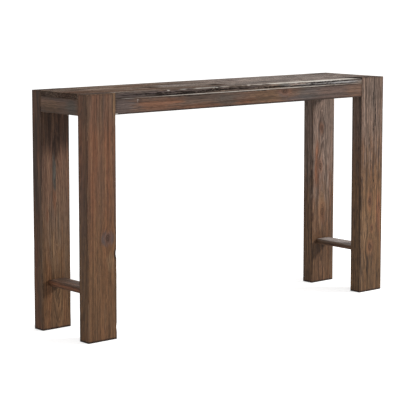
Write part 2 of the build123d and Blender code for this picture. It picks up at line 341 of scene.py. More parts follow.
# own x runs along the grain; own y is across the face that is looked at most
grainTurns = {
    "alongFront": Matrix(((1, 0, 0), (0, 0, 1), (0, -1, 0))),
    "alongTop": Matrix(((1, 0, 0), (0, 1, 0), (0, 0, 1))),
    "acrossEnd": Matrix(((0, 1, 0), (0, 0, 1), (1, 0, 0))),
    "upright": Matrix(((0, 0, 1), (1, 0, 0), (0, 1, 0))),
}


def ownFrame(board, low, high):
    turn = grainTurns[board["grain"]]
    ends = (turn @ low, turn @ high)
    corner = Vector([min(ends[0][i], ends[1][i]) for i in range(3)])
    size = Vector([abs(ends[0][i] - ends[1][i]) for i in range(3)])
    return turn, corner, size


def woodFinish(board, turn, corner, size):
    material, tree = blankMaterial(board["node"] + "_stain")
    seed = board["seed"]
    place = addNode(tree, "ShaderNodeTexCoord")
    mapping = addNode(tree, "ShaderNodeMapping", {
        "Vector": place.outputs["Object"], "Location": -corner, "Rotation": turn.to_euler()})
    spot = mapping.outputs["Vector"]

    def joined(operation, sockets):
        total = 0.0
        for socket in sockets:
            total = calc(tree, operation, total, socket)
        return total

    def stained(colour, mask, strength, name):
        return mixColour(tree, times(tree, mask, strength), colour, stain[name])

    def patched(colour, vector, patches, ragged, step):
        for number, (centre, patchSize, name, strength) in enumerate(patches):
            mask = useGroup(tree, stainPatch, {
                "Vector": vector, "Centre": centre, "Size": patchSize, "Ragged": ragged,
                "Seed": seed + step * number})["Mask"]
            colour = stained(colour, mask, strength, name)
        return colour

    # knots first, because the grain bends round them
    cores, halos, bends = [], [], []
    for number, (centre, knotSize) in enumerate(board["knots"]):
        one = useGroup(tree, knot, {
            "Vector": spot, "Centre": centre, "Size": knotSize, "Seed": seed + number})
        cores.append(one["Core"])
        halos.append(one["Halo"])
        bends.append(one["Bend"])
    drift = useGroup(tree, wander, {"Vector": spot, "Reach": board["wander"], "Seed": seed + 71})["Offset"]
    parts = partsOf(tree, spot)
    bent = addNode(tree, "ShaderNodeCombineXYZ", {
        0: parts["X"],
        1: plus(tree, plus(tree, parts["Y"], drift), joined("ADD", bends)),
        2: plus(tree, parts["Z"], drift),
    }).outputs[0]
    rings = useGroup(tree, growthRings, {
        "Vector": bent, "Pith": board["pith"], "Lean": board["lean"], "Ring Width": board["ringWidth"],
        "Waviness": board["waviness"], "Seed": seed})
    marks = useGroup(tree, grain, {
        "Vector": bent, "Early": rings["Early"], "Contrast": board["contrast"], "Seed": seed})

    colour = stain[board["ground"]]
    for kind, (along, across, softness, step, name, strength) in streakKinds.items():
        across = across / board["breadth"]
        mask = useGroup(tree, stainStreaks, {
            "Vector": bent, "Stretch": (along, across, across), "Cover": board[kind], "Softness": softness,
            "Seed": seed + step})["Mask"]
        colour = stained(colour, mask, board[strength], name)
    colour = patched(colour, bent, board["patches"], board["ragged"], 3.7)
    colour = shadeColour(tree, colour, times(tree, marks["Shade"], board["tone"]))

    # end grain soaks up more stain
    facing = vectorCalc(tree, "DOT_PRODUCT", place.outputs["Normal"], turn.transposed() @ Vector((1, 0, 0)))
    endFace = ease(tree, calc(tree, "ABSOLUTE", facing), 0.6, 0.9)
    colour = stained(colour, endFace, woodMarks["endGrain"], "endGrain")

    ringShade = calc(tree, "MULTIPLY_ADD", rings["Ring Tone"], 0.5, board["rings"])
    colour = stained(colour, rings["Late"], ringShade, "deep")
    colour = stained(colour, marks["Pores"], woodMarks["pores"], "deep")
    colour = stained(colour, marks["Strokes"], board["strokes"], "deep")
    if cores:
        colour = stained(colour, joined("MAXIMUM", halos), woodMarks["knotHalo"], "red")
        colour = stained(colour, joined("MAXIMUM", cores), woodMarks["knotCore"], "deep")

    # arrises rubbed back to paler wood, dirt and painted shade along them, hewn and chipped places
    wear = useGroup(tree, arrisWear, {
        "Vector": spot, "Half Size": size / 2, "Width": board["wearWidth"], "Seed": seed})
    colour = stained(colour, wear["Grime And Shade"], board["grimeAndShade"], "deep")
    colour = stained(colour, wear["Worn"], board["wear"], "bare")
    if board["hew"]:
        cut = addNode(tree, "ShaderNodeAttribute", attribute_name="cut").outputs["Fac"]
        shallow = ease(tree, cut, 0.1, 0.4, 0.0, woodMarks["hewnSlate"])
        colour = mixColour(tree, shallow, colour, stain["slate"])
        deeper = ease(tree, cut, 0.5, 1.0, 0.0, woodMarks["hewnDeep"])
        colour = mixColour(tree, deeper, colour, stain["deep"])
    # rubbed places, with painted highlights and painted shade among them
    colour = patched(colour, spot, board["rubbedAndPaintedLight"], woodMarks["rubbedAndPaintedLightRagged"], 9.1)

    height = calc(tree, "MULTIPLY_ADD", rings["Late"], woodMarks["lateHeight"], marks["Height"])
    gaps = []
    for number, (centre, splitLength, splitWidth) in enumerate(board["splits"]):
        gaps.append(useGroup(tree, split, {
            "Vector": spot, "Centre": centre, "Length": splitLength, "Width": splitWidth,
            "Wander": board["splitWander"], "Seed": seed + 5.1 * number})["Mask"])
    if gaps:
        opened = joined("MAXIMUM", gaps)
        colour = stained(colour, opened, woodMarks["splitDark"], "crack")
        height = minus(tree, height, times(tree, opened, woodMarks["splitDepth"]))

    roughness = calc(tree, "MULTIPLY_ADD", marks["Height"], woodMarks["grainRough"], board["rough"])
    roughness = minus(tree, roughness, times(tree, wear["Worn"], woodMarks["wornPolish"]))
    roughness = calc(tree, "MULTIPLY_ADD", endFace, woodMarks["endRough"], roughness, clamp=True)
    bump = addNode(tree, "ShaderNodeBump", {
        "Strength": board["bump"], "Distance": woodMarks["grainDepth"], "Height": height})
    addSurface(tree, {
        "Base Color": colour, "Roughness": roughness, "Normal": bump.outputs["Normal"],
        "Specular IOR Level": board["gloss"]})
    return material


# tenon thickness, height and length; a mortise is wider by the gap and deeper by the spare
joinery = {
    "rail": (12 * mm, 38 * mm, 34 * mm), "end": (12 * mm, 38 * mm, 24 * mm),
    "stretcher": (50 * mm, 10 * mm, 24 * mm), "gap": 0.2 * mm, "spare": mm,
}


def middleOf(low, high):
    return (low + high) / 2


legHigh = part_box("leg_front_left")[1]
railMiddle = middleOf(*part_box("end_rail_left"))
apronMiddle = middleOf(*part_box("apron_front"))
stretcherMiddle = middleOf(*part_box("stretcher_left"))


def endTenons(size, kind):
    # the same tenon in the middle of both ends: thickness along own z, height along own y
    thick, tall, out = joinery[kind]
    height = (size.y / 2 - tall / 2, size.y / 2 + tall / 2)
    box = [None, height, (size.z / 2 - thick / 2, size.z / 2 + thick / 2)]

    def atEnd(end):
        def inside(point):
            within = all(box[i][0] < point[i] < box[i][1] for i in (1, 2))
            return within and abs(point.x - end) < touching
        return inside

    return [{"box": box, "inside": atEnd(0.0), "move": (-out, 0, 0)},
            {"box": [None, None, None], "inside": atEnd(size.x), "move": (out, 0, 0)}]


def legMortise(low, high, centre, across, up, deep, axis):
    # a mortise in the leg's face that looks along the axis, towards the middle of the table
    turn = grainTurns["upright"]
    spot = turn @ (centre - low)
    size = turn @ (high - low)
    wide, face = (2, 1) if axis == 0 else (1, 2)
    box = [(spot.x - up / 2, spot.x + up / 2), None, None]
    box[wide] = (spot[wide] - across / 2, spot[wide] + across / 2)
    level = 0.0 if centre[axis] < low[axis] + touching else size[face]
    move = [0, 0, 0]
    move[face] = deep if level == 0.0 else -deep

    def inside(point):
        within = all(box[i][0] < point[i] < box[i][1] for i in (0, wide))
        return within and abs(point[face] - level) < touching

    return {"box": box, "inside": inside, "move": move}


# board meshes: rows of faces beside each arris, what still counts as a smooth edge, in degrees,
# how quickly the wear, the chips and the hollows change, and how deep a cut looks fully hewn
boardShape = {
    "edgeRows": (0.7 * mm, 1.8 * mm, 3.6 * mm), "smoothAngle": 40, "fullCut": 6 * mm,
    "wearPace": (9, 30, 30), "chipPace": 2.3, "chipGrowth": 3.0, "hollowPace": (3.5, 22, 22),
}


def cutAcross(bm, axis, places):
    for spot in places:
        point = [0, 0, 0]
        normal = [0, 0, 0]
        point[axis], normal[axis] = spot, 1
        everything = bm.verts[:] + bm.edges[:] + bm.faces[:]
        bmesh.ops.bisect_plane(bm, geom=everything, dist=1e-7, plane_co=point, plane_no=normal)


def pushOut(bm, inside, move):
    # takes the faces whose middle is inside and draws them out or in, as a tenon or a mortise
    faces = [face for face in bm.faces if inside(face.calc_center_median())]
    grown = bmesh.ops.extrude_face_region(bm, geom=faces)
    bmesh.ops.delete(bm, geom=faces, context="FACES_ONLY")
    moved = [part for part in grown["geom"] if isinstance(part, bmesh.types.BMVert)]
    bmesh.ops.translate(bm, verts=moved, vec=move)


def divideAlong(bm, axis, spacing):
    lengths = {}
    for edge in bm.edges:
        run = edge.verts[1].co - edge.verts[0].co
        if abs(run[axis]) > 0.99 * run.length:
            lengths.setdefault(round(run.length, 6), []).append(edge)
    for length, edges in lengths.items():
        cuts = round(length / spacing) - 1
        if cuts > 0:
            bmesh.ops.subdivide_edges(bm, edges=edges, cuts=cuts, use_grid_fill=True)


def stretched(start, pattern):
    return Vector([start[i] * boardShape[pattern][i] for i in range(3)])


def wearArrises(bm, size, board):
    # rounds every arris by a radius that changes along it, and scrapes the faces very slightly hollow
    offset = Vector((board["seed"] * 3.7, board["seed"] * 1.3, board["seed"] * 2.1))
    cutLayer = bm.verts.layers.float.new("cut")
    for vert in bm.verts:
        start = vert.co.copy()
        away = [min(start[i], size[i] - start[i]) for i in range(3)]
        if abs(min(away)) > touching:
            continue  # inside a mortise or on a tenon
        along = stretched(start, "wearPace") + offset
        loose = noise.noise(along * boardShape["chipPace"] + Vector((11, 5, 3))) - board["chipLevel"]
        chip = board["chip"] * min(1.0, max(0.0, loose) * boardShape["chipGrowth"])
        radius = board["arris"] * (1.0 + 0.5 * noise.noise(along)) + chip
        for middle, reach, depth in board["bites"]:
            near = (start - Vector(middle)).length / reach
            radius += depth * max(0.0, 1 - near * near)
        corner = Vector([max(0.0, radius - away[i]) for i in range(3)])
        if corner.length > radius:
            corner *= 1 - radius / corner.length
            for i in range(3):
                vert.co[i] += corner[i] if start[i] < size[i] / 2 else -corner[i]
        hollow = board["scrape"] * (0.5 + 0.5 * noise.noise(stretched(start, "hollowPace") + offset))
        for i in range(3):
            if away[i] < touching and i != 0:
                vert.co[i] += hollow if start[i] < size[i] / 2 else -hollow
        if board["hew"]:
            board["hew"](vert, start, size)
        vert[cutLayer] = min(1.0, (vert.co - start).length / boardShape["fullCut"])


def makeBoard(board, low, high, tenon=None, mortises=()):
    turn, corner, size = ownFrame(board, low, high)
    joints = endTenons(size, tenon) if tenon else mortises
    bm = bmesh.new()
    bmesh.ops.create_cube(bm, size=1)
    bmesh.ops.scale(bm, vec=size, verts=bm.verts)
    bmesh.ops.translate(bm, vec=size / 2, verts=bm.verts)
    for joint in joints:
        for axis, ends in enumerate(joint["box"]):
            if ends:
                cutAcross(bm, axis, ends)
    for joint in joints:
        pushOut(bm, joint["inside"], joint["move"])
    for axis in range(3):
        rows = boardShape["edgeRows"]
        cutAcross(bm, axis, [*rows, *(size[axis] - row for row in rows)])
    for axis, spacing in enumerate(board["spacing"]):
        divideAlong(bm, axis, spacing)
    wearArrises(bm, size, board)
    bmesh.ops.transform(bm, matrix=turn.transposed().to_4x4() @ Matrix.Translation(corner), verts=bm.verts)
    bmesh.ops.recalc_face_normals(bm, faces=bm.faces)
    smoothAngle = math.radians(boardShape["smoothAngle"])
    for face in bm.faces:
        face.smooth = True
    for edge in bm.edges:
        edge.smooth = len(edge.link_faces) == 2 and edge.calc_face_angle() < smoothAngle
    mesh = bpy.data.meshes.new(board["node"] + "_wood")
    bm.to_mesh(mesh)
    bm.free()
    piece = bpy.data.objects.new(mesh.name, mesh)
    bpy.context.scene.collection.objects.link(piece)
    piece.data.materials.append(woodFinish(board, turn, corner, size))
    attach(piece, "root")
    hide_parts(board["node"])
    print(piece.name, len(mesh.polygons), "faces")


def makeLeg(board):
    low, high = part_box(board["node"])
    side = 1 if low.x > 0 else -1
    face = 1 if low.y > 0 else -1
    innerX = low.x if side > 0 else high.x
    innerY = low.y if face > 0 else high.y
    gap, spare = joinery["gap"], joinery["spare"]
    mortises = []
    for kind, centre, axis in (
        ("rail", Vector((innerX, face * abs(apronMiddle.y), apronMiddle.z)), 0),
        ("end", Vector((side * abs(railMiddle.x), innerY, railMiddle.z)), 1),
        ("stretcher", Vector((middleOf(low, high).x, innerY, stretcherMiddle.z)), 1),
    ):
        across, up, out = joinery[kind]
        mortises.append(legMortise(low, high, centre, across + gap, up + gap, out + spare, axis))
    makeBoard(board, low, high, mortises=mortises)


# places in each board are its own: x up from the floor, y from the left, z from the front
# dark band at the foot of each leg: dirt and painted contact shade
footDirtAndShade = ((0, 0.065, 0.03), (0.007, 0.5, 0.5), "deep", 0.85)
legStock = {**plainBoard, "grain": "upright", "wear": 0.3, "grimeAndShade": 0.42, "vivid": 0.85, "contrast": 0.9,
            "rubbedAndPaintedLight": [footDirtAndShade]}
legs = {
    "leg_front_left": {
        "seed": 2.0, "pith": (0, -0.16, 0.05), "lean": (0, 0.02, 0), "ringWidth": 4.2 * mm, "waviness": 0.02,
        "red": 0.5, "slate": 0.12, "dark": 0.22, "light": 0.3, "strokes": 0.25, "rings": 0.02,
        "contrast": 0.7, "tone": 0.95,
        "knots": [((0.381, 0.092, 0), (0.017, 0.012, 0.03))],
        "bites": [((0.321, 0.131, 0), 17 * mm, 6 * mm), ((0.045, 0.131, 0), 16 * mm, 4 * mm)],
        "patches": [
            ((0.15, 0.065, 0.03), (0.35, 0.16, 0.1), "ochre", 0.5),
            ((0.87, 0.065, 0.03), (0.1, 0.16, 0.1), "slate", 0.3),
            ((0.292, 0.104, 0), (0.035, 0.018, 0.03), "tan", 0.7),
            ((0.381, 0.09, 0), (0.028, 0.022, 0.03), "purple", 0.9),
            ((0.321, 0.129, 0), (0.02, 0.012, 0.03), "deep", 0.95),
            ((0.88, 0.124, 0), (0.07, 0.006, 0.02), "tan", 0.8),
            ((0.5, 0.01, 0.03), (0.3, 0.02, 0.02), "purple", 0.25),
        ],
    },
    "leg_front_right": {
        "seed": 5.0,
        "pith": (0, -0.06, 0.1), "lean": (0, 0.05, 0.05), "ringWidth": 7.5 * mm, "waviness": 0.05,
        "red": 0.3, "slate": 0.2, "dark": 0.4, "light": 0.5, "strokes": 0.6, "rings": 0.4, "tone": 0.91,
        "wander": 5 * mm,
        "knots": [((0.385, 0.056, 0), (0.026, 0.009, 0.03)), ((0.268, 0.07, 0), (0.013, 0.006, 0.03)),
                  ((0.19, 0.06, 0), (0.019, 0.013, 0.03))],
        "patches": [
            ((0.2, 0.065, 0.03), (0.45, 0.16, 0.1), "ochre", 0.6),
            ((0.85, 0.065, 0.03), (0.3, 0.16, 0.1), "ash", 0.6),
            ((0.34, 0.112, 0), (0.09, 0.014, 0.03), "red", 0.9),
            ((0.27, 0.03, 0), (0.08, 0.02, 0.03), "tan", 0.4),
            ((0.85, 0.07, 0), (0.08, 0.06, 0.03), "slate", 0.45),
            ((0.12, 0.045, 0), (0.06, 0.008, 0.03), "deep", 0.5),
            ((0.56, 0.075, 0), (0.08, 0.008, 0.03), "deep", 0.5),
        ],
        "splits": [((0.83, 0.072, 0), 0.09, 2 * mm), ((0.76, 0.085, 0), 0.12, 2.2 * mm),
                   ((0.7, 0.074, 0), 0.07, 1.6 * mm), ((0.63, 0.052, 0), 0.09, 1.8 * mm),
                   ((0.55, 0.06, 0), 0.07, 1.4 * mm), ((0.47, 0.078, 0), 0.09, 1.5 * mm),
                   ((0.1, 0.04, 0), 0.06, 1.4 * mm)],
        # the second rubbed entry is painted shade on the left face at the top, above the sunk end of the
        # front top board
        "rubbedAndPaintedLight": [footDirtAndShade, ((0.912, 0, 0.025), (0.009, 0.003, 0.08), "deep", 1.0)],
    },
    "leg_back_left": {
        "seed": 8.0, "pith": (0, 0.07, -0.034), "lean": (0, 0, 0.088), "ringWidth": 8 * mm, "waviness": 0.015,
        "red": 0.45, "slate": 0.3, "dark": 0.3, "light": 0.3, "rings": 0.12, "strokes": 0.25, "tone": 1.08,
        "breadth": 1.3, "contrast": 0.65,
        # the second rubbed entry is a painted shadow of the apron and the top across the upper front face
        "rubbedAndPaintedLight": [footDirtAndShade, ((0.765, 0.065, 0), (0.09, 0.2, 0.05), "deep", 0.3)],
        "patches": [
            # painted shade: the first patch darkens the whole left face
            ((0.45, 0, 0.03), (0.7, 0.012, 0.2), "deep", 0.3),
            ((0.16, 0.03, 0), (0.14, 0.012, 0.02), "red", 0.85),
            ((0.1, 0.085, 0), (0.14, 0.01, 0.02), "tan", 0.6),
            ((0.25, 0.11, 0), (0.15, 0.01, 0.02), "slate", 0.6),
            ((0.38, 0.078, 0), (0.06, 0.008, 0.02), "teal", 0.4),
            ((0.2, 0.065, 0), (0.35, 0.16, 0.02), "ochre", 0.5),
            ((0.56, 0.065, 0), (0.26, 0.16, 0.02), "ash", 0.25),
            ((0.78, 0.04, 0), (0.11, 0.008, 0.03), "deep", 0.6),
            ((0.78, 0.084, 0), (0.11, 0.008, 0.03), "deep", 0.6),
            ((0.69, 0.062, 0), (0.04, 0.014, 0.03), "deep", 0.7),
            ((0.6, 0.059, 0), (0.08, 0.008, 0.03), "teal", 0.75),
            ((0.5, 0.059, 0), (0.04, 0.01, 0.03), "red", 0.6),
            ((0.3, 0.05, 0), (0.07, 0.008, 0.03), "tan", 0.6),
            ((0.44, 0.027, 0), (0.03, 0.006, 0.03), "red", 0.5),
        ],
    },
    "leg_back_right": {
        "seed": 11.0,
        "pith": (0, 0.056, -0.022), "lean": (0, 0, 0.075), "ringWidth": 8.5 * mm, "waviness": 0.05,
        "red": 0.4, "slate": 0.3, "dark": 0.3, "light": 0.45, "strokes": 0.5, "rings": 0.25, "tone": 0.95,
        "wander": 5 * mm,
        "knots": [((0.312, 0.06, 0), (0.03, 0.012, 0.03)), ((0.514, 0.048, 0), (0.02, 0.009, 0.03)),
                  ((0.676, 0.054, 0), (0.016, 0.008, 0.03))],
        "patches": [
            ((0.15, 0.065, 0.03), (0.3, 0.16, 0.1), "ochre", 0.3),
            ((0.75, 0.065, 0.03), (0.4, 0.16, 0.1), "ash", 0.8),
            ((0.68, 0.054, 0), (0.04, 0.02, 0.03), "deep", 0.4),
            ((0.515, 0.026, 0), (0.11, 0.014, 0.03), "red", 0.85),
            ((0.34, 0.056, 0), (0.06, 0.012, 0.03), "tan", 0.7),
            ((0.74, 0.09, 0), (0.12, 0.03, 0.03), "slate", 0.4),
        ],
    },
}
for node, board in legs.items():
    makeLeg({**legStock, **board, "node": node})

# x from the left leg, y up from the lower edge, z towards the front
apronStock = {**plainBoard, "grain": "alongFront"}
aprons = {
    "apron_front": {
        "seed": 14.0, "pith": (0, -0.12, -0.04), "lean": (0, 0.01, 0), "ringWidth": 6 * mm, "tone": 0.84,
        "red": 0.25, "slate": 0.25, "dark": 0.3, "light": 0.12, "wear": 0.2, "grimeAndShade": 0.5, "strokes": 0.4,
        "contrast": 0.7, "rings": 0.1, "ragged": 0.6,
        "knots": [((0.859, 0.046, 0.028), (0.022, 0.011, 0.03))],
        "patches": [
            ((0.02, 0.03, 0.028), (0.09, 0.06, 0.03), "purple", 0.85),
            ((0.114, 0.047, 0.028), (0.012, 0.009, 0.03), "deep", 0.7),
            ((0.9, 0.03, 0.028), (0.55, 0.09, 0.03), "ash", 0.22),
            ((0.2, 0.03, 0.028), (0.2, 0.09, 0.03), "ash", 0.25),
            ((0.19, 0.03, 0.028), (0.08, 0.02, 0.03), "red", 0.55),
            ((0.3, 0.04, 0.028), (0.07, 0.01, 0.03), "red", 0.65),
            ((0.38, 0.012, 0.028), (0.14, 0.009, 0.03), "red", 0.45),
            ((0.46, 0.042, 0.028), (0.17, 0.018, 0.03), "slate", 0.7),
            ((0.54, 0.03, 0.028), (0.05, 0.03, 0.03), "teal", 0.3),
            ((0.65, 0.018, 0.028), (0.05, 0.01, 0.03), "red", 0.8),
            ((0.76, 0.03, 0.028), (0.09, 0.03, 0.03), "ochre", 0.4),
            ((0.859, 0.046, 0.028), (0.034, 0.018, 0.03), "purple", 0.7),
            ((0.93, 0.015, 0.028), (0.08, 0.014, 0.03), "purple", 0.6),
            ((0.99, 0.03, 0.028), (0.06, 0.04, 0.03), "teal", 0.45),
            ((1.09, 0.034, 0.028), (0.16, 0.06, 0.03), "purple", 0.55),
        ],
        "rubbedAndPaintedLight": [
            # a painted highlight along the top arris, then painted shade along the lower arris
            ((0.65, 0.059, 0.028), (0.64, 0.003, 0.006), "pale", 0.6),
            ((0.65, 0, 0.028), (0.7, 0.006, 0.01), "deep", 0.9),
            ((0.105, 0.05, 0.028), (0.004, 0.0022, 0.01), "pale", 0.35),
            ((0.104, 0.044, 0.028), (0.002, 0.004, 0.01), "pale", 0.22),
            # a painted highlight at the foot of the joint with the leg
            ((0.004, 0.003, 0.028), (0.008, 0.002, 0.01), "pale", 0.8),
        ],
        "splits": [((0.36, 0.0535, 0.028), 0.34, 1 * mm), ((0.7, 0.0535, 0.028), 0.3, 1.2 * mm),
                   ((1.1, 0.053, 0.028), 0.4, 1.2 * mm)],
        "splitWander": 0.8 * mm,
    },
    "apron_back": {
        "seed": 17.0, "pith": (0, 0.1, 0.06), "lean": (0, 0.02, 0.02), "ringWidth": 4 * mm, "waviness": 0.03,
        "red": 0.4, "slate": 0.3, "dark": 0.3, "light": 0.3, "wear": 0.3,
        "knots": [((0.42, 0.03, 0), (0.018, 0.009, 0.03)), ((1.01, 0.022, 0), (0.014, 0.007, 0.03))],
        "patches": [
            ((0.3, 0.03, 0), (0.12, 0.03, 0.03), "red", 0.5),
            ((0.76, 0.035, 0), (0.1, 0.02, 0.03), "slate", 0.7),
            ((1.2, 0.03, 0), (0.09, 0.05, 0.03), "purple", 0.6),
        ],
    },
}
for node, board in aprons.items():
    low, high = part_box(node)
    low.x, high.x = legHigh.x, -legHigh.x
    makeBoard({**apronStock, **board, "node": node}, low, high, "rail")

# x from the front leg, y up from the lower edge, z from the left
endStock = {**plainBoard, "grain": "acrossEnd", "ringWidth": 4 * mm}
endRails = {
    "end_rail_left": {
        "seed": 20.0, "pith": (0, -0.15, 0.05),
        "red": 0.0, "slate": 0.3, "dark": 0.3, "light": 0.1, "wear": 0.12, "contrast": 0.55, "rings": 0.02,
        "strokes": 0.25,
        "patches": [
            ((0.12, 0.03, 0), (0.2, 0.09, 0.03), "ash", 0.35),
            ((0.17, 0.02, 0), (0.06, 0.03, 0.03), "ochre", 0.3),
            ((0.1, 0.052, 0), (0.1, 0.01, 0.03), "purple", 0.4),
            ((0.04, 0.024, 0), (0.034, 0.028, 0.03), "teal", 0.5),
        ],
    },
    "end_rail_right": {
        "seed": 23.0, "pith": (0, 0.2, -0.04),
        "red": 0.15, "slate": 0.3, "dark": 0.35, "light": 0.25, "contrast": 0.8,
        "patches": [((0.12, 0.03, 0.03), (0.3, 0.09, 0.1), "ash", 0.4)],
    },
}
stretchers = {
    "stretcher_left": {
        "seed": 26.0, "pith": (0, 0.05, 0.15),
        "red": 0.5, "slate": 0.25, "dark": 0.3, "light": 0.4,
        "patches": [((0.12, 0.024, 0.03), (0.3, 0.005, 0.1), "ash", 0.6),
                    ((0.12, 0.008, 0), (0.3, 0.014, 0.05), "red", 0.6)],
    },
    "stretcher_right": {
        "seed": 29.0, "pith": (0, 0.05, -0.1),
        "red": 0.3, "slate": 0.4, "dark": 0.3, "light": 0.45,
        # painted sheen and dust: the pale grey of the top face
        "patches": [((0.12, 0.025, 0.03), (0.3, 0.007, 0.1), "dustAndSheen", 0.9)],
    },
}
for tenon, boards in (("end", endRails), ("stretcher", stretchers)):
    for node, board in boards.items():
        low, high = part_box(node)
        low.y, high.y = legHigh.y, -legHigh.y
        makeBoard({**endStock, **board, "node": node}, low, high, tenon)

# the hewn front edge of the top: how far back the work goes and how deep it may be, the lip under it,
# the waney stretch in the left half, and the right end, which stands a little low
frontEdge = {
    "reach": 16 * mm, "deepest": 7.5 * mm, "ragged": 0.5 * mm, "bitten": 12 * mm,
    "bevelDepth": 0.8, "bevelDrop": 0.6,
    "lipHeight": 2.2 * mm, "lipDepth": 2 * mm, "waneyMiddle": 0.36, "waneyHalf": 0.3, "biteLevel": 0.12,
    "sunkEnd": 60 * mm, "sunk": 3.4 * mm,
}
# the bevel's width in mm: least, and what the scallops, the waney stretch, the right end and the bites add
frontBevel = {"least": 1.0, "scallop": 2.5, "waney": 2.0, "rightEnd": 1.5, "bites": 14}
# grooves that the weather left in the edge: height, how far they wander and how quickly, depth and half width
frontGrooves = {
    "upper": {"height": 12.5 * mm, "wander": 2.5 * mm, "depth": 3.6 * mm, "width": 1.7 * mm, "pace": 6.0},
    "lower": {"height": 5 * mm, "wander": 1.6 * mm, "depth": 3.2 * mm, "width": 1.4 * mm, "pace": 8.0},
}


def hewFrontEdge(vert, start, size):
    fromFront, fromTop = size.z - start.z, size.y - start.y
    x = start.x / size.x
    sunk = max(0.0, 1 - (size.x - start.x) / frontEdge["sunkEnd"])
    vert.co.y -= frontEdge["sunk"] * sunk * start.y / size.y
    if fromFront > frontEdge["reach"]:
        return
    scallop = 0.5 + 0.5 * noise.noise(Vector((start.x * 14, 4.2, 0)))
    ragged = noise.noise(Vector((start.x * 55, start.y * 220, 2.0)))
    waney = max(0.0, 1 - abs(x - frontEdge["waneyMiddle"]) / frontEdge["waneyHalf"])
    bites = noise.noise(Vector((start.x * 31, start.y * 70, 6.5))) - frontEdge["biteLevel"]
    bites = max(0.0, bites) * waney
    bevel = frontBevel["least"] + frontBevel["scallop"] * scallop
    bevel += frontBevel["waney"] * waney * max(0.0, ragged)
    bevel = (bevel + frontBevel["rightEnd"] * min(1.0, x) + frontBevel["bites"] * bites) * mm
    if fromFront < touching:
        recess = max(0.0, bevel - fromTop) * frontEdge["bevelDepth"]
        recess += frontEdge["ragged"] * (1 + ragged)
        recess += frontEdge["bitten"] * bites
        for number, groove in enumerate(frontGrooves.values()):
            drift = noise.noise(Vector((start.x * groove["pace"], 9.1 * number, 1.5)))
            strength = 0.5 + noise.noise(Vector((start.x * 9, 3.3 * number, 7.7)))
            middle = groove["height"] + groove["wander"] * drift * 2
            near = math.exp(-((start.y - middle) / groove["width"]) ** 2)
            recess += groove["depth"] * max(0.0, min(1.0, strength)) * near
        if start.y < frontEdge["lipHeight"]:
            recess += frontEdge["lipDepth"]
        vert.co.z -= min(recess, frontEdge["deepest"])
    elif fromTop < touching and fromFront < bevel:
        vert.co.y -= (bevel - fromFront) * frontEdge["bevelDrop"]
